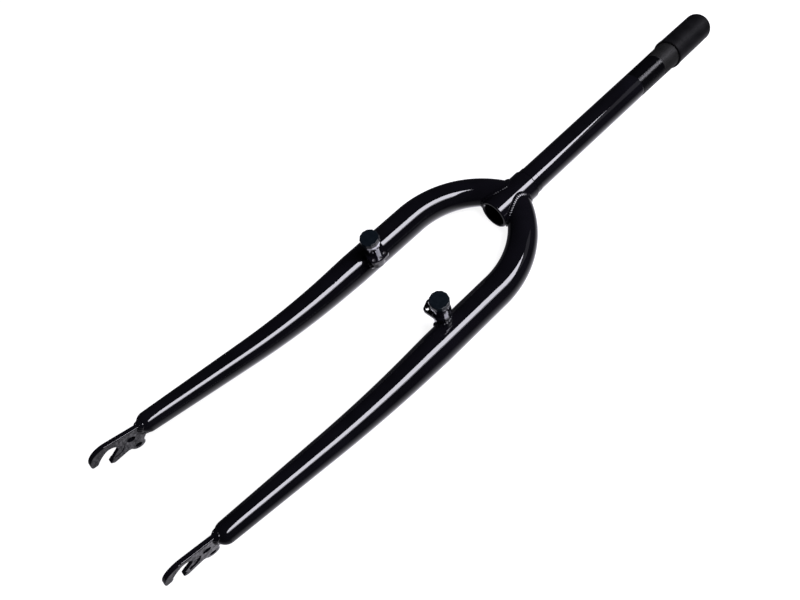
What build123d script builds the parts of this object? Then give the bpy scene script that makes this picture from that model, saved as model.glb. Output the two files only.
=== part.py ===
from build123d import *
import os
from math import acos, atan2, cos, degrees, hypot, radians, sin

# Rigid bicycle fork with bent-over blades, lying on its back.
# X points to the rider's left, Y up the steerer and Z forward, in millimetres.
# The origin is on the steerer's axis, on the shoulder where the lower headset race sits.

# Steerer tube
steerer_diameter = 25.4
steerer_bore = 22.2
steerer_height = 247.0
race_seat_diameter = 26.4
race_seat_height = 6.0
stub_diameter = 28.6
stub_depth = 44.5
stub_rim_round = 1.2
shoulder_chamfer = 1.4
bore_chamfer = 1.0
thread_length = 100.0
thread_core_diameter = 24.7
thread_runout = 1.2

# Push-on thread cap
cap_diameter = 28.0
cap_end_diameter = 27.4
cap_lip_diameter = 28.8
cap_lip_height = 2.4
cap_length = 49.5
cap_end_wall = 3.0
cap_end_round = 3.0
cap_clearance = 0.1

# Blades
blade_diameter = 29.0
blade_tip_diameter = 17.0
blade_wall = 1.6
crown_end_width = 24.0
crown_end_depth = 28.0
blade_spacing = 104.0
blade_splay = 0.2
bend_radius = 87.5
bend_depth = 97.5
taper_depth = 167.0
rake_angle = 15.0
rake_radius = 360.0
dome_length = 8.0

# Axle, where the dropouts hold it
axle_drop = 398.0
axle_offset = 41.0
hub_width = 100.0

# Dropouts, measured from the axle along the blade's tip and forward of it
plate_thickness = 4.0
plate_edge_round = 0.7
axle_slot_width = 10.0
axle_slot_angle = 34.0
axle_reach = 26.0
axle_setback = 2.5
tang_width = 12.0
tang_depth = 12.0
neck_length = 1.5
hook_radius = 15.0
hook_back = 1.2
hook_drop = 2.8
hook_end_angle = 189.0
hook_wall_radius = 30.0
hook_run = 12.3
hook_tip_round = 1.6
arm_flare = 10.0
arm_run = 13.5
arm_tip_width = 4.2
arm_tip_round = 1.6
tab_radius = 5.5
tab_up = 16.8
tab_back = 13.2
tab_low_angle = 170.0
tab_high_angle = 20.0
tab_web_round = 2.5
eyelet_diameter = 5.0
keeper_hole_diameter = 6.2
keeper_hole_up = 15.3
washer_seat_diameter = 21.0
washer_seat_depth = 0.8
locknut_seat_diameter = 19.0
locknut_seat_depth = 0.4

# Brake posts on the inner front of the blades
post_spacing = 80.0
post_drop = 148.0
barrel_diameter = 14.0
barrel_foot = 6.0
barrel_top = 24.0
barrel_edge_round = 0.8
stud_diameter = 8.0
stud_length = 16.0
stud_hole_diameter = 6.0
stud_hole_depth = 14.0

# Spring plates under the posts' sleeves
spring_plate_thickness = 3.0
spring_plate_diameter = 17.0
spring_hole_diameter = 2.8
spring_hole_circle = 21.4
spring_hole_pitch = 30.0
spring_hole_turn = -8.0
spring_hole_count = 3
spring_ear_width = 6.4

# Sleeves and screws that close the posts
sleeve_diameter = 13.5
sleeve_flange_diameter = 16.0
sleeve_flange_thickness = 2.4
sleeve_clearance = 0.05
sleeve_length = 14.5
screw_head_width = 15.8
screw_head_height = 4.6
screw_head_sides = 12
screw_head_round = 0.9
screw_length = 12.0
screw_clearance = 0.05

# Places that follow from the sizes above
steerer_radius = steerer_diameter / 2
bore_radius = steerer_bore / 2
stub_radius = stub_diameter / 2
blade_radius = blade_diameter / 2
tip_radius = blade_tip_diameter / 2
slot_radius = axle_slot_width / 2
inner_face = hub_width / 2 - locknut_seat_depth

lean = radians(rake_angle)
splay = radians(blade_splay)
blade_down = Vector(sin(splay), -cos(splay), 0)
tip_down = Vector(sin(splay) * cos(lean), -cos(splay) * cos(lean), sin(lean))
bend_end = Vector(blade_spacing / 2, -bend_depth, 0)

# The plate's own axes: up along the blade's tip, forward across it, outward along X
plate_up = Vector(0, cos(lean), -sin(lean))
plate_forward = Vector(0, sin(lean), cos(lean))
axle = Vector(0, -axle_drop, axle_offset)
dome_tip = axle + plate_up * axle_reach + plate_forward * axle_setback
dome_base = dome_tip + plate_up * dome_length

# The straight run and the straight tip meet at a corner that the rake rounds off
tip_run = dome_base.Z / sin(lean)
straight_run = (bend_end.Y - dome_base.Y) / cos(splay) - tip_run * cos(lean)
rake_corner = bend_end + blade_down * straight_run
tip_end = rake_corner + tip_down * tip_run
taper_start = bend_end + blade_down * ((taper_depth - bend_depth) / cos(splay))
bend_sweep = degrees(acos(1 - bend_end.X / bend_radius))

os.makedirs("parts", exist_ok=True)

# Steerer tube: stub, race seat, plain length and threaded top, turned about Y
with BuildPart() as steerer_tube:
    with BuildSketch(Plane.XY):
        with BuildLine():
            race_radius = race_seat_diameter / 2
            core_radius = thread_core_diameter / 2
            thread_start = steerer_height - thread_length
            rim = Polyline(
                (bore_radius, -stub_depth + bore_chamfer),
                (bore_radius + bore_chamfer, -stub_depth),
                (stub_radius - stub_rim_round, -stub_depth),
            )
            corner = TangentArc(
                rim @ 1, (stub_radius, -stub_depth + stub_rim_round), tangent=rim % 1
            )
            outside = Polyline(
                corner @ 1,
                (stub_radius, -shoulder_chamfer),
                (stub_radius - shoulder_chamfer, 0),
                (race_radius, 0),
                (race_radius, race_seat_height - race_radius + steerer_radius),
                (steerer_radius, race_seat_height),
                (steerer_radius, thread_start),
                (core_radius, thread_start + thread_runout),
                (core_radius, steerer_height - bore_chamfer),
                (core_radius - bore_chamfer / 2, steerer_height),
                (bore_radius, steerer_height),
                rim @ 0,
            )
        make_face()
    revolve(axis=Axis.Y)
steerer_tube.part.label = "steerer_tube"
export_step(steerer_tube.part, "parts/steerer_tube.step")

# Thread cap: a closed, slightly tapered cup with a thicker lip at its mouth
with BuildPart() as thread_cap:
    with BuildSketch(Plane.XY):
        with BuildLine():
            cap_inside = steerer_radius + cap_clearance
            cap_top = steerer_height + cap_end_wall
            cap_mouth = cap_top - cap_length
            lip_radius = cap_lip_diameter / 2
            end_radius = cap_end_diameter / 2
            side = Polyline(
                (0, steerer_height),
                (cap_inside, steerer_height),
                (cap_inside, cap_mouth),
                (lip_radius - bore_chamfer / 2, cap_mouth),
                (lip_radius, cap_mouth + bore_chamfer / 2),
                (lip_radius, cap_mouth + cap_lip_height),
                (cap_diameter / 2, cap_mouth + cap_lip_height + lip_radius - cap_diameter / 2),
                (end_radius, cap_top - cap_end_round),
            )
            end_arc = RadiusArc(side @ 1, (end_radius - cap_end_round, cap_top), -cap_end_round)
            Polyline(end_arc @ 1, (0, cap_top), side @ 0)
        make_face()
    revolve(axis=Axis.Y)
thread_cap.part.label = "thread_cap"
export_step(thread_cap.part, "parts/thread_cap.step")


# Point of the dropout's plate, given along its slot and forward across it
def beside_slot(along, across):
    turn = radians(axle_slot_angle)
    return (
        -along * cos(turn) - across * sin(turn),
        -along * sin(turn) + across * cos(turn),
    )


# Point on a circle of the dropout's plate, by its angle from the blade's axis
def around(centre, radius, angle):
    return (
        centre[0] + radius * cos(radians(angle)),
        centre[1] + radius * sin(radians(angle)),
    )


# Left dropout: a stamped plate with a hooked axle slot, a keeper hole and an eyelet tab
with BuildPart() as left_dropout:
    plate_plane = Plane(
        origin=axle + Vector(inner_face, 0, 0), x_dir=plate_up, z_dir=(1, 0, 0)
    )
    with BuildSketch(plate_plane) as outline:
        with BuildLine():
            hook_centre = (-hook_back, -hook_drop)
            tab_centre = (tab_up, -tab_back)
            tang_front = axle_setback + tang_width / 2
            tang_rear = axle_setback - tang_width / 2
            tang_end = axle_reach + dome_length + tang_depth
            neck = axle_reach + neck_length
            corner_angle = degrees(atan2(tang_front + hook_drop, neck + hook_back))
            corner_reach = hypot(tang_front + hook_drop, neck + hook_back)
            hook_start_angle = corner_angle + degrees(acos(hook_radius / corner_reach))
            hook_start = around(hook_centre, hook_radius, hook_start_angle)
            hook_middle = around(hook_centre, hook_radius, (hook_start_angle + hook_end_angle) / 2)
            hook_tip = around(hook_centre, hook_radius, hook_end_angle)
            wall_end = beside_slot(hook_run, slot_radius - hook_run**2 / (2 * hook_wall_radius))
            wall_start = around((0, 0), slot_radius, 90 + axle_slot_angle)
            slot_middle = around((0, 0), slot_radius, axle_slot_angle + arm_flare / 2)
            arm_turn = axle_slot_angle + arm_flare
            arm_start = around((0, 0), slot_radius, arm_turn - 90)
            arm_inner = around(arm_start, arm_run, arm_turn + 180)
            arm_outer = around(arm_inner, arm_tip_width, arm_turn - 90)
            tab_low = around(tab_centre, tab_radius, tab_low_angle)
            tab_high = around(tab_centre, tab_radius, tab_high_angle)

            Polyline((tang_end, tang_rear), (tang_end, tang_front), (neck, tang_front), hook_start)
            ThreePointArc(hook_start, hook_middle, hook_tip)
            Line(hook_tip, wall_end)
            RadiusArc(wall_end, wall_start, hook_wall_radius)
            ThreePointArc(wall_start, slot_middle, arm_start)
            Polyline(arm_start, arm_inner, arm_outer, tab_low)
            ThreePointArc(tab_low, around(tab_centre, tab_radius, 270), tab_high)
            Polyline(tab_high, (neck, tang_rear), (tang_end, tang_rear))
        make_face()
        for corner_point, corner_round in (
            (hook_tip, hook_tip_round),
            (wall_end, hook_tip_round),
            (arm_inner, arm_tip_round),
            (arm_outer, arm_tip_round),
            (tab_low, tab_web_round),
            (tab_high, tab_web_round),
        ):
            fillet(outline.vertices().sort_by_distance(corner_point)[0], radius=corner_round)
    extrude(amount=plate_thickness)
    inner_rim = left_dropout.faces().sort_by(Axis.X)[0].outer_wire().edges()
    outer_rim = left_dropout.faces().sort_by(Axis.X)[-1].outer_wire().edges()
    fillet(inner_rim + outer_rim, radius=plate_edge_round)
    with BuildSketch(plate_plane):
        with Locations((keeper_hole_up, 0)):
            Circle(keeper_hole_diameter / 2)
        with Locations(tab_centre):
            Circle(eyelet_diameter / 2)
    extrude(amount=plate_thickness, mode=Mode.SUBTRACT)
    with BuildSketch(plate_plane):
        Circle(locknut_seat_diameter / 2)
    extrude(amount=locknut_seat_depth, mode=Mode.SUBTRACT)
    with BuildSketch(plate_plane.offset(plate_thickness)):
        Circle(washer_seat_diameter / 2)
    extrude(amount=-washer_seat_depth, mode=Mode.SUBTRACT)
left_dropout.part.label = "left_dropout"
export_step(left_dropout.part, "parts/left_dropout.step")


# One skin of the blade: the bend, the straight run and the raked, tapered tip with its dome
def blade_skin(inset, mode):
    bend_plane = Plane(origin=bend_end, x_dir=(0, 0, 1), z_dir=-blade_down)
    with BuildSketch(bend_plane) as bend_foot:
        Circle(blade_radius - inset)
    with BuildLine() as bend_line:
        bend = JernArc(bend_end, -blade_down, bend_radius, bend_sweep)
    with BuildSketch(Plane(origin=bend @ 1, x_dir=(0, 0, 1), z_dir=bend % 1)) as crown_end:
        Ellipse(crown_end_depth / 2 - inset, crown_end_width / 2 - inset)
    sweep(
        [bend_foot.sketch.face(), crown_end.sketch.face()],
        path=bend_line.line,
        multisection=True,
        mode=mode,
    )
    extrude(bend_foot.sketch, amount=-(taper_start - bend_end).length, mode=mode)
    with BuildLine() as tip_line:
        FilletPolyline(taper_start, rake_corner, tip_end, radius=rake_radius)
    with BuildSketch(Plane(origin=taper_start, x_dir=(0, 0, 1), z_dir=blade_down)) as wide_end:
        Circle(blade_radius - inset)
    with BuildSketch(Plane(origin=tip_end, x_dir=(1, 0, 0), z_dir=tip_down)) as narrow_end:
        Circle(tip_radius - inset)
    sweep(
        [wide_end.sketch.face(), narrow_end.sketch.face()],
        path=tip_line.line,
        multisection=True,
        mode=mode,
    )
    dome_plane = Plane(origin=tip_end, x_dir=tip_down.cross(plate_forward), z_dir=plate_forward)
    with BuildSketch(dome_plane) as half_dome:
        Ellipse(tip_radius - inset, dome_length - inset)
        Rectangle(tip_radius, dome_length, align=Align.MIN, mode=Mode.INTERSECT)
    revolve(half_dome.sketch, axis=Axis(tip_end, tip_down), mode=mode)


# Left blade: a hollow tube mitred to the stub and slotted for the dropout's tang
with BuildPart() as left_blade:
    blade_skin(0, Mode.ADD)
    blade_skin(blade_wall, Mode.SUBTRACT)
    with BuildSketch(Plane.XZ):
        Circle(stub_radius)
    extrude(amount=stub_depth + blade_diameter, both=True, mode=Mode.SUBTRACT)
    add(left_dropout.part, mode=Mode.SUBTRACT)
left_blade.part.label = "left_blade"
export_step(left_blade.part, "parts/left_blade.step")

# Places of the left brake post's parts, stacked along Z
post_plane = Plane(origin=(post_spacing / 2, -post_drop, 0))
plate_top = barrel_top + spring_plate_thickness
sleeve_top = plate_top + sleeve_length
stud_top = barrel_top + stud_length
stud_radius = stud_diameter / 2
sleeve_bore = stud_radius + sleeve_clearance
screw_radius = stud_hole_diameter / 2 - screw_clearance

# Left brake post: a barrel coped to the blade, with a stud drilled for its screw
with BuildPart() as left_brake_post:
    with BuildSketch(post_plane.offset(barrel_foot)):
        Circle(barrel_diameter / 2)
    extrude(amount=barrel_top - barrel_foot)
    fillet(left_brake_post.edges().sort_by(Axis.Z)[-1], radius=barrel_edge_round)
    with BuildSketch(post_plane.offset(barrel_top)):
        Circle(stud_radius)
    extrude(amount=stud_length)
    with BuildSketch(post_plane.offset(stud_top)):
        Circle(stud_hole_diameter / 2)
    extrude(amount=-stud_hole_depth, mode=Mode.SUBTRACT)
    with BuildSketch(Plane(origin=bend_end, x_dir=(0, 0, 1), z_dir=blade_down)):
        Circle(blade_radius)
    extrude(amount=(taper_start - bend_end).length, mode=Mode.SUBTRACT)
left_brake_post.part.label = "left_brake_post"
export_step(left_brake_post.part, "parts/left_brake_post.step")

# Left spring plate: a rounded plate whose ear, with the spring holes, points inboard
with BuildPart() as left_spring_plate:
    spring_turn = 180 - spring_hole_turn
    spring_span = spring_hole_pitch * (spring_hole_count - 1)
    with BuildSketch(post_plane.offset(barrel_top)):
        Circle(spring_plate_diameter / 2)
        with PolarLocations(
            spring_hole_circle / 2, spring_hole_count, spring_turn - spring_span / 2, spring_span,
            endpoint=True,
        ):
            Circle(spring_ear_width / 2)
        make_hull()
        Circle(stud_radius, mode=Mode.SUBTRACT)
        with PolarLocations(
            spring_hole_circle / 2, spring_hole_count, spring_turn - spring_span / 2, spring_span,
            endpoint=True,
        ):
            Circle(spring_hole_diameter / 2, mode=Mode.SUBTRACT)
    extrude(amount=spring_plate_thickness)
left_spring_plate.part.label = "left_spring_plate"
export_step(left_spring_plate.part, "parts/left_spring_plate.step")

# Left post sleeve: a plain sleeve with a flange under the screw's head
with BuildPart() as left_post_sleeve:
    with BuildSketch(post_plane.offset(plate_top)):
        Circle(sleeve_diameter / 2)
        Circle(sleeve_bore, mode=Mode.SUBTRACT)
    extrude(amount=sleeve_length)
    with BuildSketch(post_plane.offset(sleeve_top)):
        Circle(sleeve_flange_diameter / 2)
        Circle(sleeve_bore, mode=Mode.SUBTRACT)
    extrude(amount=-sleeve_flange_thickness)
left_post_sleeve.part.label = "left_post_sleeve"
export_step(left_post_sleeve.part, "parts/left_post_sleeve.step")

# Left post screw: a wide, many-sided head and a plain shank in the stud's hole
with BuildPart() as left_post_screw:
    with BuildSketch(post_plane.offset(sleeve_top)):
        RegularPolygon(screw_head_width / 2, screw_head_sides, major_radius=False)
    extrude(amount=screw_head_height)
    fillet(left_post_screw.edges().group_by(Axis.Z)[-1], radius=screw_head_round)
    with BuildSketch(post_plane.offset(sleeve_top)):
        Circle(screw_radius)
    extrude(amount=-screw_length)
left_post_screw.part.label = "left_post_screw"
export_step(left_post_screw.part, "parts/left_post_screw.step")

# Right-hand pieces, mirrored across the fork's middle
for left_piece in (
    left_dropout, left_blade, left_brake_post, left_spring_plate, left_post_sleeve, left_post_screw,
):
    right_name = left_piece.part.label.replace("left", "right")
    with BuildPart() as right_piece:
        mirror(left_piece.part, about=Plane.YZ)
    right_piece.part.label = right_name
    export_step(right_piece.part, f"parts/{right_name}.step")
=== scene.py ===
import random
from math import acos, atan2, cos, hypot, pi, radians, sin, sqrt, tan

import bmesh
import bpy
from mathutils import Matrix, Vector


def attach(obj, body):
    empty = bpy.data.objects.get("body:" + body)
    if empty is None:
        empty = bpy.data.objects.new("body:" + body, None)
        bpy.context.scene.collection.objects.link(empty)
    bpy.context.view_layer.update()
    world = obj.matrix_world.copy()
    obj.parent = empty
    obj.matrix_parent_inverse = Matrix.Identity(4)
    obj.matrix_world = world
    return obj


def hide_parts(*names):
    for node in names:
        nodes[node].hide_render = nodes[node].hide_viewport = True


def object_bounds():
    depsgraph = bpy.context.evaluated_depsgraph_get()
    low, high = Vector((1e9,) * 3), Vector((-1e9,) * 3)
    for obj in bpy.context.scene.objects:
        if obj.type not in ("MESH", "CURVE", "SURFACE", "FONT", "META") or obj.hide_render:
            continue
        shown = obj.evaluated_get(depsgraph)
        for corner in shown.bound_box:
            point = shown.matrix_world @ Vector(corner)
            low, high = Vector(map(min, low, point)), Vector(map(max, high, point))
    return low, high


# Rigid bicycle fork lying on its back: X to the rider's left, Y up the steerer, Z forward, in metres.
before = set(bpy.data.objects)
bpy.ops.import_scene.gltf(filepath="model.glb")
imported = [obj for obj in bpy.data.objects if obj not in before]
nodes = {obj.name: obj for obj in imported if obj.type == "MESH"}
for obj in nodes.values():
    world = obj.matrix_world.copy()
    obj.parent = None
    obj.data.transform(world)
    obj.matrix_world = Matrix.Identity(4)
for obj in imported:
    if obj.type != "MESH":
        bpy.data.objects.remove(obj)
cad_low, cad_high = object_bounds()
mm = 0.001

# Stub and blades, in millimetres
stub_radius = 14.3
stub_wall_middle = 12.8
blade_radius = 14.5
bend_radius = 87.5
bend_end = Vector((52.0, -97.5, 0.0))
splay = radians(0.2)
taper_depth = 167.0
rake_radius = 360.0
crown_end_half_width = 12.0
crown_end_half_depth = 12.0
dome_length = 8.6
tip_radius = 8.5

# Brake posts
post_place = Vector((40.0, -148.0, 0.0))
barrel_radius = 7.0
barrel_foot = 6.0

# Axle, and the dropouts' tangs in the blades' ends
lean = radians(15.0)
axle = Vector((0.0, -398.0, 41.0))
axle_reach = 23.2
axle_setback = 2.5
plate_inner = 49.6
plate_outer = 53.6
tang_half_width = 6.0
tang_round = 0.7

# Thread on the steerer, 24 to the inch, painted below and bare above
thread_pitch = 25.4 / 24
thread_start = 147.6
paint_end = 180.0
thread_end = 202.5
thread_fade = 0.8
thread_skin_depth = 0.3
painted_root_radius = 12.46
painted_crest_radius = 12.64
painted_sharpness = 2.5
bare_root_radius = 12.36
bare_crest_radius = 12.70
bare_sharpness = 1.3

# Weld beads: legs and ripples in millimetres, heights and bows as shares of a leg and of a ripple
crown_weld_leg = 2.3
post_weld_leg = 2.2
tip_weld_leg = 2.4
weld_ripple = 2.1
ripple_height = 0.34
ripple_level = 0.6
ripple_bow = 0.4
bead_hollow = 1.35
bead_edge_sink = 0.2
bead_root_sink = 0.5
bead_waves = 4
bead_wave_rates = (2, 9)
bead_wave_sizes = (0.02, 0.05)

# Fineness of the meshes
same_point = 1e-7
tiny = 1e-9
halvings = 40
blade_sides = 96
mitre_rings = 6
bend_rings = 48
tip_rings = 90
dome_rings = 12
crown_joint_points = 240
post_joint_steps = 120
post_foot_steps = 30
tang_corner_steps = 8
tang_side_steps = 12
bead_step = 0.42
bead_fewest = 24
bead_arc_steps = 8
thread_sides = 80
rows_a_pitch = 8

# The span that most of a noise's values fall in
noise_low = 0.3
noise_high = 0.7

# Studio: sizes in metres, tints of the light, and the dimmest part of the surroundings
floor_half_width = 4.0
floor_gap = 0.05 * mm
panel_height = 1.5
panel_turn = radians(-14)
softbox_tint = (0.92, 0.905, 1.0)
fill_tint = (0.90, 0.88, 1.0)
surround_tint = (0.93, 0.91, 1.0)
least_paleness = 0.012

# Camera, with its focal length in pixels of the photograph's width
eye = Vector((176.41, -247.67, 423.31)) * mm
aim = Vector((-0.80, -158.66, 0.0)) * mm
camera_up = Vector((-0.62869, 0.66561, 0.40213))
image_width = 800
focal_pixels = 550
sensor_width = 36.0

# Places that follow from the sizes
bend_centre = bend_end - bend_radius * Vector((cos(splay), sin(splay), 0.0))
bend_sweep = acos(1 - bend_end.x / bend_radius)
plate_up = Vector((0, cos(lean), -sin(lean)))
plate_front = Vector((0, sin(lean), cos(lean)))
dome_base = axle + plate_up * (axle_reach + dome_length) + plate_front * axle_setback


# Mesh object from points in millimetres
def make_piece(name, points, faces, material):
    mesh = bpy.data.meshes.new(name)
    mesh.from_pydata([Vector(p) * mm for p in points], [], faces)
    work = bmesh.new()
    work.from_mesh(mesh)
    bmesh.ops.remove_doubles(work, verts=work.verts, dist=same_point)
    bmesh.ops.recalc_face_normals(work, faces=work.faces)
    work.to_mesh(mesh)
    work.free()
    for polygon in mesh.polygons:
        polygon.use_smooth = True
    mesh.materials.append(material)
    piece = bpy.data.objects.new(name, mesh)
    bpy.context.collection.objects.link(piece)
    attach(piece, "root")
    return piece


# Faces that join rings of the same number of points into a skin
def ring_faces(ring_count, ring_size, closed):
    faces = []
    last = ring_count if closed else ring_count - 1
    for ring in range(last):
        here = ring * ring_size
        there = (ring + 1) % ring_count * ring_size
        for k in range(ring_size):
            after = (k + 1) % ring_size
            faces.append((here + k, here + after, there + after, there + k))
    return faces


# Point and normal of the left blade's bend, which flattens towards the crown
def bend_surface(turn, around):
    outward = Vector((cos(turn + splay), sin(turn + splay), 0.0))
    share = turn / bend_sweep
    half_width = blade_radius + (crown_end_half_width - blade_radius) * share
    half_depth = blade_radius + (crown_end_half_depth - blade_radius) * share
    point = bend_centre + outward * (bend_radius + half_width * cos(around))
    point.z = half_depth * sin(around)
    normal = outward * cos(around) / half_width + Vector((0, 0, sin(around) / half_depth))
    return point, normal.normalized()


# How far round the bend a line of its surface runs before it meets a cylinder about the steerer's axis
def bend_end_turn(around, radius):
    low = 0.0
    high = bend_sweep
    for _ in range(halvings):
        turn = (low + high) / 2
        point, _ = bend_surface(turn, around)
        if hypot(point.x, point.z) > radius:
            low = turn
        else:
            high = turn
    return low


# Sideways place of the left blade's centre line below its bend
def blade_line_x(y):
    return bend_end.x + (bend_end.y - y) * sin(splay)


# Centre line of the left blade's lower part: place and direction after a run from the bend's end
def tip_line():
    blade_down = Vector((sin(splay), -cos(splay), 0.0))
    front = Vector((0, 0, 1))
    tip_run = dome_base.z / sin(lean)
    straight_run = (bend_end.y - dome_base.y) / cos(splay) - tip_run * cos(lean)
    arc_tangent = rake_radius * tan(lean / 2)
    arc_start = straight_run - arc_tangent
    arc_run = rake_radius * lean
    whole_run = arc_start + arc_run + tip_run - arc_tangent

    def place(run):
        bent = min(max(run - arc_start, 0.0), arc_run) / rake_radius
        way = blade_down * cos(bent) + front * sin(bent)
        point = bend_end + blade_down * min(run, arc_start)
        point += rake_radius * (blade_down * sin(bent) + front * (1 - cos(bent)))
        point += way * max(run - arc_start - arc_run, 0.0)
        return point, way

    return place, whole_run


# Rings that close the mitred end of the left blade's bend, inside the stub's wall
def mitre_skin(angles, mitre):
    rim = [bend_surface(turn, angle)[0] for turn, angle in zip(mitre, angles)]
    middle_y = sum(point.y for point in rim) / len(rim)
    rings = []
    for step in range(mitre_rings):
        share = step / mitre_rings
        ring = []
        for point in rim:
            turn = atan2(point.z, point.x) * share
            y = middle_y + (point.y - middle_y) * share
            ring.append(Vector((stub_wall_middle * cos(turn), y, stub_wall_middle * sin(turn))))
        rings.append(ring)
    return rings


# Rings of the left blade's bend, from the mitre to the bend's end
def bend_skin(angles, mitre):
    rings = []
    for step in range(bend_rings + 1):
        left = 1 - step / bend_rings
        rings.append([bend_surface(turn * left, angle)[0] for turn, angle in zip(mitre, angles)])
    return rings


# Rings of the left blade's lower part: straight, then tapered round the rake, then domed
def tip_skin(angles):
    place, whole_run = tip_line()
    taper_run = taper_depth + bend_end.y

    def round_ring(run, radius, beyond):
        point, way = place(run)
        outward = Vector((1, 0, 0)) - way * way.x
        outward.normalize()
        front = way.cross(outward)
        if front.z < 0:
            front.negate()
        centre = point + way * beyond
        return [centre + radius * (outward * cos(angle) + front * sin(angle)) for angle in angles]

    rings = []
    for step in range(1, tip_rings + 1):
        run = whole_run * step / tip_rings
        share = max(run - taper_run, 0.0) / (whole_run - taper_run)
        rings.append(round_ring(run, blade_radius + (tip_radius - blade_radius) * share, 0.0))
    for step in range(1, dome_rings + 1):
        angle = pi / 2 * step / dome_rings
        rings.append(round_ring(whole_run, tip_radius * cos(angle), dome_length * sin(angle)))
    return rings


# Blades, a little slimmer at the crown and a little longer at the tip than the solids they stand for
def make_blades(material):
    angles = [2 * pi * k / blade_sides for k in range(blade_sides)]
    mitre = [bend_end_turn(angle, stub_wall_middle) for angle in angles]
    rings = mitre_skin(angles, mitre) + bend_skin(angles, mitre) + tip_skin(angles)
    left_points = [point for ring in rings for point in ring]
    faces = ring_faces(len(rings), blade_sides, closed=False)
    for name, side in (("left_blade", 1), ("right_blade", -1)):
        points = [Vector((side * point.x, point.y, point.z)) for point in left_points]
        blade = make_piece(f"{name}_skin", points, faces, material)
        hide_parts(name)


# Joint of the left blade's bend and the steerer's stub, as points with the two surfaces' normals
def crown_joint():
    joint = []
    for k in range(crown_joint_points):
        around = 2 * pi * k / crown_joint_points
        point, normal = bend_surface(bend_end_turn(around, stub_radius), around)
        joint.append((point, Vector((point.x, 0, point.z)).normalized(), normal))
    return joint


# Joint of the left brake post's barrel and the blade, closed by the edge under the barrel
def post_joint():
    blade_x = blade_line_x(post_place.y)
    foot_x = blade_x - sqrt(blade_radius**2 - barrel_foot**2)
    end_angle = acos((foot_x - post_place.x) / barrel_radius)
    joint = []
    for k in range(post_joint_steps + 1):
        angle = -end_angle + 2 * end_angle * k / post_joint_steps
        outward = Vector((cos(angle), sin(angle), 0.0))
        point = post_place + barrel_radius * outward
        offset = point.x - blade_x
        point.z = sqrt(max(blade_radius**2 - offset**2, 0))
        joint.append((point, outward, Vector((offset, 0, point.z)).normalized()))
    half_chord = barrel_radius * sin(end_angle)
    blade_normal = Vector((foot_x - blade_x, 0, barrel_foot)).normalized()
    foot_normal = Vector((-0.5, 0, -1)).normalized()
    for k in range(1, post_foot_steps):
        y = post_place.y + half_chord * (1 - 2 * k / post_foot_steps)
        joint.append((Vector((foot_x, y, barrel_foot)), foot_normal, blade_normal))
    return joint


# Outline of a dropout's tang across the blade: sideways place, forward place and the side's direction
def tang_outline(inner, outer):
    corners = (
        (outer, tang_half_width, 0),
        (inner, tang_half_width, 90),
        (inner, -tang_half_width, 180),
        (outer, -tang_half_width, 270),
    )
    outline = []
    for x, w, first_angle in corners:
        x_centre = x - tang_round if x == outer else x + tang_round
        w_centre = w - tang_round if w > 0 else w + tang_round
        for k in range(tang_corner_steps + 1):
            angle = radians(first_angle + 90 * k / tang_corner_steps)
            outline.append((x_centre + tang_round * cos(angle), w_centre + tang_round * sin(angle), angle))
    return outline


# Joint of the left dropout's tang and the domed end of the blade
def tip_joint():
    outward = Vector((1, 0, 0))
    blade_x = blade_line_x(dome_base.y)
    centre = Vector((blade_x, dome_base.y, dome_base.z))
    outline = tang_outline(plate_inner - blade_x, plate_outer - blade_x)
    corner_points = tang_corner_steps + 1
    joint = []
    for k, (x, w, angle) in enumerate(outline):
        next_x, next_w, _ = outline[(k + 1) % len(outline)]
        steps = tang_side_steps if (k + 1) % corner_points == 0 else 1
        for step in range(steps):
            here_x = x + (next_x - x) * step / steps
            here_w = w + (next_w - w) * step / steps
            height = dome_length * sqrt(1 - (here_x**2 + here_w**2) / tip_radius**2)
            point = centre - plate_up * height + outward * here_x + plate_front * here_w
            dome_normal = (
                outward * here_x / tip_radius**2
                + plate_front * here_w / tip_radius**2
                - plate_up * height / dome_length**2
            )
            side = outward * cos(angle) + plate_front * sin(angle)
            joint.append((point, side, dome_normal.normalized()))
    return joint


# The same joint on the other side of the fork
def mirrored(joint):
    return [tuple(Vector((-v.x, v.y, v.z)) for v in row) for row in joint]


# Points of a closed joint, with the two surfaces' normals, spread evenly along it
def spread_evenly(joint, step):
    lengths = [0.0]
    for k in range(len(joint)):
        stretch = joint[(k + 1) % len(joint)][0] - joint[k][0]
        lengths.append(lengths[-1] + stretch.length)
    whole = lengths[-1]
    count = max(bead_fewest, round(whole / step))
    even = []
    k = 0
    for i in range(count):
        want = whole * i / count
        while lengths[k + 1] < want:
            k += 1
        share = (want - lengths[k]) / max(lengths[k + 1] - lengths[k], tiny)
        before = joint[k]
        after = joint[(k + 1) % len(joint)]
        point, first, second = (before[n].lerp(after[n], share) for n in range(3))
        even.append((point, first.normalized(), second.normalized()))
    return even, whole


# Direction along a surface and square to a line on it, on the side that another normal points to
def along_surface(normal, tangent, towards):
    along = normal.cross(tangent).normalized()
    if along.dot(towards) < 0:
        along.negate()
    return along


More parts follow.
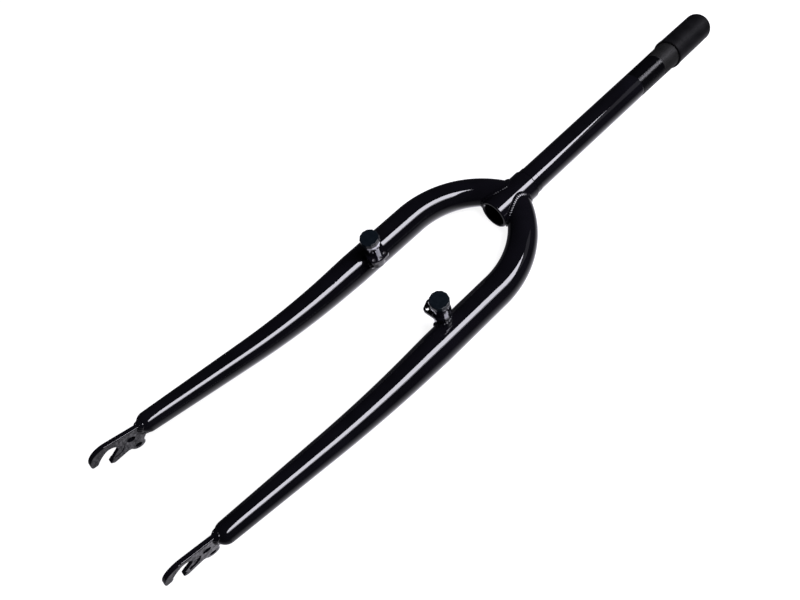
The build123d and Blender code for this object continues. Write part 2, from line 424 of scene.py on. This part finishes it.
# Rippled weld bead along a closed joint between two surfaces
def weld_bead(name, joint, leg, seed, material):
    chance = random.Random(seed)
    even, length = spread_evenly(joint, bead_step)
    ripple_count = round(length / weld_ripple)
    waves = []
    for _ in range(bead_waves):
        rate = chance.randint(*bead_wave_rates)
        shift = chance.uniform(0, 2 * pi)
        size = chance.uniform(*bead_wave_sizes)
        waves.append((rate, shift, size))
    points = []
    for i, (point, first, second) in enumerate(even):
        tangent = (even[(i + 1) % len(even)][0] - even[i - 1][0]).normalized()
        along_first = along_surface(first, tangent, second)
        along_second = along_surface(second, tangent, first)
        turn = i / len(even)
        wander = 1 + sum(size * sin(2 * pi * rate * turn + shift) for rate, shift, size in waves)
        for k in range(bead_arc_steps + 1):
            across = k / bead_arc_steps
            from_middle = (2 * across - 1) ** 2
            phase = (turn * ripple_count + ripple_bow * from_middle) % 1
            scallop = 1 - (2 * phase - 1) ** 4
            reach = leg * wander * (1 + ripple_height * (1 - from_middle) * (scallop - ripple_level))
            out_first = cos(across * pi / 2) ** bead_hollow
            out_second = sin(across * pi / 2) ** bead_hollow
            place = point + reach * (out_first * along_first + out_second * along_second)
            if k == 0:
                place -= bead_edge_sink * first
            if k == bead_arc_steps:
                place -= bead_edge_sink * second
            points.append(place)
        points.append(point - bead_root_sink * (first + second).normalized())
    faces = ring_faces(len(even), bead_arc_steps + 2, closed=True)
    make_piece(name, points, faces, material)


# Weld beads of both sides, at the crown, the brake posts and the dropouts: name, joint, leg and seed
def make_welds(material):
    left_joints = (
        ("crown_weld", crown_joint(), crown_weld_leg, 3),
        ("post_weld", post_joint(), post_weld_leg, 11),
        ("tip_weld", tip_joint(), tip_weld_leg, 23),
    )
    for name, joint, leg, seed in left_joints:
        weld_bead(f"left_{name}", joint, leg, seed, material)
        weld_bead(f"right_{name}", mirrored(joint), leg, seed + 1, material)


# Threaded skin between two heights on the steerer
def thread_skin(name, start, end, root_radius, crest_radius, sharpness, material):
    rows = round((end - start) / thread_pitch * rows_a_pitch)
    inside = root_radius - thread_skin_depth
    points = []
    for row in range(-1, rows + 2):
        y = start + (end - start) * min(max(row, 0), rows) / rows
        ends = min(1.0, (y - start) / thread_fade, (end - y) / thread_fade)
        for k in range(thread_sides):
            angle = 2 * pi * k / thread_sides
            phase = (y - thread_start) / thread_pitch - k / thread_sides
            ridge = (0.5 + 0.5 * cos(2 * pi * phase)) ** sharpness
            radius = root_radius + (crest_radius - root_radius) * ridge * ends
            if row < 0 or row > rows:
                radius = inside
            points.append((radius * sin(angle), y, radius * cos(angle)))
    faces = ring_faces(rows + 3, thread_sides, closed=True)
    make_piece(name, points, faces, material)


# New node in a tree, with its settings and the values of its inputs
def add_node(tree, kind, inputs=None, **settings):
    node = tree.nodes.new(kind)
    for key, value in settings.items():
        setattr(node, key, value)
    for key, value in (inputs or {}).items():
        node.inputs[key].default_value = value
    return node


# Noise in the object's own space, at a scale in cycles a metre
def add_noise(tree, scale, detail):
    place = add_node(tree, "ShaderNodeTexCoord")
    noise = add_node(tree, "ShaderNodeTexNoise", {"Scale": scale, "Detail": detail, "Roughness": 0.55})
    tree.links.new(place.outputs["Object"], noise.inputs["Vector"])
    return noise.outputs["Fac"]


# Colour that goes from dark to light with the noise
def add_ramp(tree, value, dark, light):
    ramp = add_node(tree, "ShaderNodeValToRGB")
    ends = ((noise_low, dark), (noise_high, light))
    for element, (position, colour) in zip(ramp.color_ramp.elements, ends):
        element.position = position
        element.color = (*colour, 1)
    tree.links.new(value, ramp.inputs["Fac"])
    return ramp.outputs["Color"]


# Number that goes from low to high while a value goes from start to end
def add_fade(tree, value, start, end, low, high):
    limits = {"From Min": start, "From Max": end, "To Min": low, "To Max": high}
    fade = add_node(tree, "ShaderNodeMapRange", limits)
    tree.links.new(value, fade.inputs["Value"])
    return fade.outputs["Result"]


# Relief of a given depth in metres
def add_bump(tree, value, strength, depth):
    bump = add_node(tree, "ShaderNodeBump", {"Strength": strength, "Distance": depth})
    tree.links.new(value, bump.inputs["Height"])
    return bump.outputs["Normal"]


# New material with its node tree and its shader
def new_material(name):
    material = bpy.data.materials.new(name)
    material.use_nodes = True
    tree = material.node_tree
    shader = tree.nodes["Principled BSDF"]
    return material, tree, shader


# Finish whose colour, roughness and fine relief all vary over the surface
def finish(name, dark, light, blotch, rough, grain, relief, depth, shine, coat=0.0, metal=0.0):
    material, tree, shader = new_material(name)
    blotches = add_noise(tree, blotch, detail=3.0)
    grains = add_noise(tree, grain, detail=2.0)
    roughness = add_fade(tree, blotches, noise_low, noise_high, *rough)
    normal = add_bump(tree, grains, relief, depth)
    tree.links.new(add_ramp(tree, blotches, dark, light), shader.inputs["Base Color"])
    tree.links.new(roughness, shader.inputs["Roughness"])
    tree.links.new(normal, shader.inputs["Normal"])
    shader.inputs["Specular IOR Level"].default_value = shine
    shader.inputs["Metallic"].default_value = metal
    if coat:
        tree.links.new(normal, shader.inputs["Coat Normal"])
        shader.inputs["Coat Weight"].default_value = coat
        shader.inputs["Coat Roughness"].default_value = 0.02
        shader.inputs["Coat IOR"].default_value = 1.5
    return material


# Gloss paints, bare steel, plastics and plating
paint = finish(
    "gloss_black_paint",
    dark=(0.0022, 0.0021, 0.0030),
    light=(0.0037, 0.0035, 0.0052),
    blotch=35.0,
    rough=(0.30, 0.42),
    grain=420.0,
    relief=0.05,
    depth=0.0004,
    shine=0.0,
    coat=1.0,
)
plate_paint = finish(
    "gloss_black_plate_paint",
    dark=(0.0022, 0.0021, 0.0030),
    light=(0.0040, 0.0038, 0.0056),
    blotch=110.0,
    rough=(0.30, 0.42),
    grain=150.0,
    relief=0.9,
    depth=0.0010,
    shine=0.0,
    coat=1.0,
)
thread_paint = finish(
    "thread_black_paint",
    dark=(0.0014, 0.0014, 0.0018),
    light=(0.0028, 0.0028, 0.0034),
    blotch=90.0,
    rough=(0.28, 0.40),
    grain=900.0,
    relief=0.08,
    depth=0.0002,
    shine=0.0,
    coat=0.55,
)
bare_steel = finish(
    "dark_phosphate_steel",
    dark=(0.0090, 0.0090, 0.0090),
    light=(0.0140, 0.0140, 0.0136),
    blotch=160.0,
    rough=(0.40, 0.50),
    grain=1500.0,
    relief=0.15,
    depth=0.0002,
    shine=0.2,
)
cap_plastic = finish(
    "matt_black_cap",
    dark=(0.0024, 0.0024, 0.0029),
    light=(0.0040, 0.0040, 0.0047),
    blotch=120.0,
    rough=(0.42, 0.50),
    grain=1800.0,
    relief=0.12,
    depth=0.0002,
    shine=0.12,
)
sleeve_plating = finish(
    "black_plated_sleeve",
    dark=(0.32, 0.32, 0.345),
    light=(0.52, 0.52, 0.56),
    blotch=220.0,
    rough=(0.07, 0.14),
    grain=1600.0,
    relief=0.06,
    depth=0.0002,
    shine=0.5,
    metal=1.0,
)
screw_plastic = finish(
    "blue_black_screw",
    dark=(0.0028, 0.0046, 0.0068),
    light=(0.0044, 0.0068, 0.0096),
    blotch=260.0,
    rough=(0.14, 0.24),
    grain=1900.0,
    relief=0.10,
    depth=0.0002,
    shine=0.25,
)

# Finishes of the solids: gloss paint, apart from the loose pieces and the stamped dropouts
finishes = {"thread_cap": cap_plastic}
for side in ("left", "right"):
    finishes[f"{side}_dropout"] = plate_paint
    finishes[f"{side}_post_sleeve"] = sleeve_plating
    finishes[f"{side}_post_screw"] = screw_plastic
for name, node in nodes.items():
    node.data.materials.clear()
    node.data.materials.append(finishes.get(name, paint))

# Blades, welds and threads
make_blades(paint)
make_welds(paint)
thread_skin(
    "painted_thread", thread_start, paint_end, painted_root_radius, painted_crest_radius,
    painted_sharpness, thread_paint,
)
thread_skin(
    "bare_thread", paint_end, thread_end, bare_root_radius, bare_crest_radius,
    bare_sharpness, bare_steel,
)


# Pale floor just under the fork, which its gloss doesn't mirror
def make_floor():
    material, tree, shader = new_material("pale_floor")
    blotches = add_noise(tree, scale=6.0, detail=3.0)
    colour = add_ramp(tree, blotches, (0.30, 0.30, 0.305), (0.33, 0.33, 0.335))
    tree.links.new(colour, shader.inputs["Base Color"])
    shader.inputs["Roughness"].default_value = 0.8
    shader.inputs["Specular IOR Level"].default_value = 0.1
    shader.inputs["Emission Color"].default_value = (1, 1, 1, 1)
    shader.inputs["Emission Strength"].default_value = 0.90
    mesh = bpy.data.meshes.new("floor")
    level = cad_low[2] - floor_gap
    corners = ((-1, -1), (1, -1), (1, 1), (-1, 1))
    points = [(x * floor_half_width, y * floor_half_width, level) for x, y in corners]
    mesh.from_pydata(points, [], [(0, 1, 2, 3)])
    mesh.materials.append(material)
    floor = bpy.data.objects.new("floor", mesh)
    bpy.context.collection.objects.link(floor)
    floor.visible_glossy = False


# Rectangular soft light that faces down, turned about the vertical
def soft_panel(name, centre, width, length, radiance, colour):
    light = bpy.data.lights.new(name, "AREA")
    light.shape = "RECTANGLE"
    light.size = width
    light.size_y = length
    light.energy = radiance * pi * width * length
    light.color = colour
    lamp = bpy.data.objects.new(name, light)
    lamp.location = (*centre, panel_height)
    lamp.rotation_euler = (0, 0, panel_turn)
    lamp.visible_camera = False
    bpy.context.collection.objects.link(lamp)


# White backdrop for the view, and dim surroundings: pale below, dark to the fork's right and past its axle
def make_surroundings():
    world = bpy.data.worlds.new("studio")
    bpy.context.scene.world = world
    world.use_nodes = True
    tree = world.node_tree
    tree.nodes.clear()
    way = add_node(tree, "ShaderNodeTexCoord")
    parts = add_node(tree, "ShaderNodeSeparateXYZ")
    tree.links.new(way.outputs["Generated"], parts.inputs["Vector"])
    below = add_fade(tree, parts.outputs["Z"], start=-0.12, end=-1.0, low=0.0, high=1.75)
    leftward = add_fade(tree, parts.outputs["X"], start=-0.62, end=-0.32, low=0.1, high=1.0)
    steererward = add_fade(tree, parts.outputs["Y"], start=-0.36, end=-0.12, low=0.25, high=1.0)
    sideways = add_node(tree, "ShaderNodeMath", operation="MULTIPLY")
    tree.links.new(leftward, sideways.inputs[0])
    tree.links.new(steererward, sideways.inputs[1])
    paleness = add_node(tree, "ShaderNodeMath", operation="MULTIPLY_ADD")
    tree.links.new(below, paleness.inputs[0])
    tree.links.new(sideways.outputs["Value"], paleness.inputs[1])
    paleness.inputs[2].default_value = least_paleness
    backdrop = add_node(tree, "ShaderNodeBackground", {"Color": (1, 1, 1, 1), "Strength": 1.0})
    around_fork = add_node(tree, "ShaderNodeBackground", {"Color": (*surround_tint, 1)})
    tree.links.new(paleness.outputs["Value"], around_fork.inputs["Strength"])
    path = add_node(tree, "ShaderNodeLightPath")
    choose = add_node(tree, "ShaderNodeMixShader")
    out = add_node(tree, "ShaderNodeOutputWorld")
    tree.links.new(path.outputs["Is Camera Ray"], choose.inputs["Fac"])
    tree.links.new(around_fork.outputs["Background"], choose.inputs[1])
    tree.links.new(backdrop.outputs["Background"], choose.inputs[2])
    tree.links.new(choose.outputs["Shader"], out.inputs["Surface"])


# Camera at the photograph's angle
def make_camera():
    camera_data = bpy.data.cameras.new("camera")
    camera_data.sensor_width = sensor_width
    camera_data.lens = focal_pixels / image_width * sensor_width
    camera = bpy.data.objects.new("camera", camera_data)
    bpy.context.collection.objects.link(camera)
    back = (eye - aim).normalized()
    right = camera_up.cross(back).normalized()
    turn = Matrix((right, back.cross(right), back)).transposed().to_4x4()
    camera.matrix_world = Matrix.Translation(eye) @ turn
    bpy.context.scene.camera = camera


# Studio
make_floor()
soft_panel(
    "main_softbox", centre=(0.715, 0.555), width=0.70, length=1.45, radiance=17.0, colour=softbox_tint
)
soft_panel(
    "softbox_edge", centre=(1.16, 0.43), width=0.22, length=1.40, radiance=4.5, colour=softbox_tint
)
soft_panel("far_fill", centre=(1.05, 2.0), width=1.1, length=1.4, radiance=0.40, colour=fill_tint)
make_surroundings()
make_camera()
bpy.context.scene.view_settings.view_transform = "Standard"
